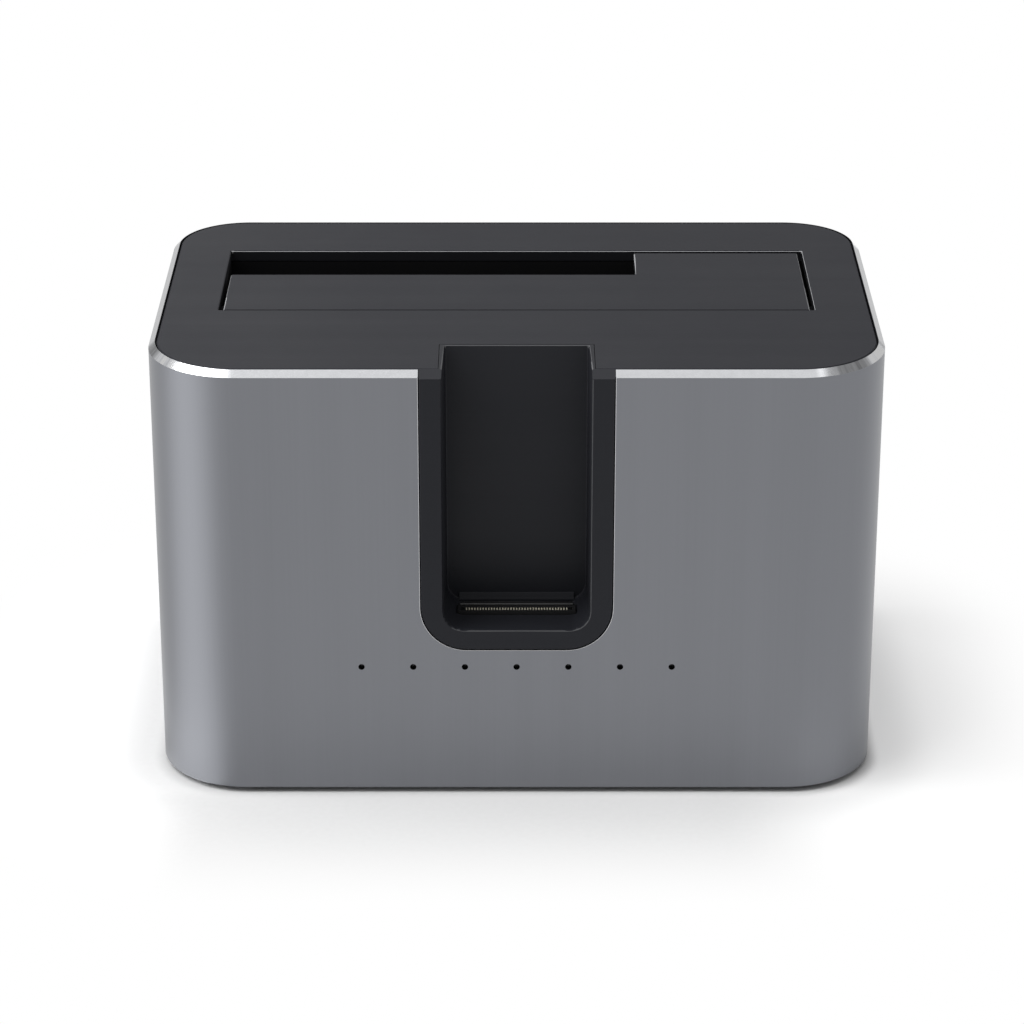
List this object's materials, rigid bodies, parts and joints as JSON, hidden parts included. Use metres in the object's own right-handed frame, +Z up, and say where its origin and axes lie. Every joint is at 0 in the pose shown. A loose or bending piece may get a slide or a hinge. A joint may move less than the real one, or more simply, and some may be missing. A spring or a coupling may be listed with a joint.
{
  "type": "hard drive docking station",
  "caption": "Upright drive dock: aluminium sleeve, top slot with a sprung L-shaped flap for hard drives, open front bay for an M.2 module, rear port panel.",
  "frame": {"origin": "on the table, under the middle of the sleeve", "axes": "+X to the right seen from the front, +Y to the rear ports, +Z up out of the drive slot"},
  "size_m": [0.13, 0.0816, 0.0816],
  "materials": {
    "sleeve_aluminium": "fine satin anodised",
    "cover_plastic": "satin moulded",
    "flap_plastic": "satin moulded",
    "bay_plastic": "satin moulded",
    "well_plastic": "matt moulded",
    "panel_plastic": "matt moulded",
    "base_plastic": "fine textured",
    "foot_rubber": "matt",
    "steel": "plated",
    "spring_steel": "bright wire",
    "board_laminate": "solder mask",
    "connector_plastic": "moulded",
    "contact_gold": "gold plated",
    "chip_resin": "moulded resin",
    "capacitor_can": "bright drawn",
    "clear_acrylic": "smoked clear",
    "led_epoxy": "clear cast",
    "rocker_plastic": "gloss moulded",
    "button_plastic": "satin moulded"
  },
  "bodies": {
    "housing": {"sleeve": "sleeve_aluminium", "top_cover": "cover_plastic", "flap_hinge_pin": "steel", "flap_spring": "spring_steel", "drive_well": "well_plastic", "m2_bay_housing": "bay_plastic", "base_plate": "base_plastic", "rubber_foot_front_left": "foot_rubber", "rubber_foot_front_right": "foot_rubber", "rubber_foot_rear_left": "foot_rubber", "rubber_foot_rear_right": "foot_rubber", "base_screws": "steel", "cover_screws": "steel", "board_screws": "steel", "main_board": "board_laminate", "front_board": "board_laminate", "board_link": "connector_plastic", "sata_socket": "connector_plastic", "sata_contacts": "contact_gold", "m2_socket": "connector_plastic", "m2_contacts": "contact_gold", "led_chips": "led_epoxy", "light_guide": "clear_acrylic", "port_panel": "panel_plastic", "usb_c_shell": "steel", "usb_c_tongue": "connector_plastic", "dc_jack_body": "connector_plastic", "dc_jack_contacts": "steel", "power_switch_body": "panel_plastic", "clone_switch_body": "connector_plastic", "bridge_chip": "chip_resin", "clone_chip": "chip_resin", "power_inductor": "chip_resin", "capacitors": "capacitor_can", "crystal": "steel"},
    "flap": {"drive_flap": "flap_plastic"},
    "rocker": {"power_rocker": "rocker_plastic"},
    "button": {"clone_button": "button_plastic", "clone_plunger": "button_plastic"}
  },
  "joints": [
    {"name": "flap_hinge", "type": "hinge", "parent": "housing", "child": "flap", "pos_m": [0, -0.0096, 0.0774], "axis": [-1, 0, 0], "range_deg": [0, 88], "stiffness_Nm_per_rad": 0.0015, "springref_deg": -85.94, "deforming": ["flap_spring"]},
    {"name": "rocker_tilt", "type": "hinge", "parent": "housing", "child": "rocker", "pos_m": [0.02749, 0.03715, 0.0231], "axis": [0, 0, 1], "range_deg": [0, 16]},
    {"name": "button_press", "type": "slide", "parent": "housing", "child": "button", "axis": [0, -1, 0], "range_m": [0, 0.0006], "stiffness_N_per_m": 2600, "springref_m": -0.0002}
  ]
}
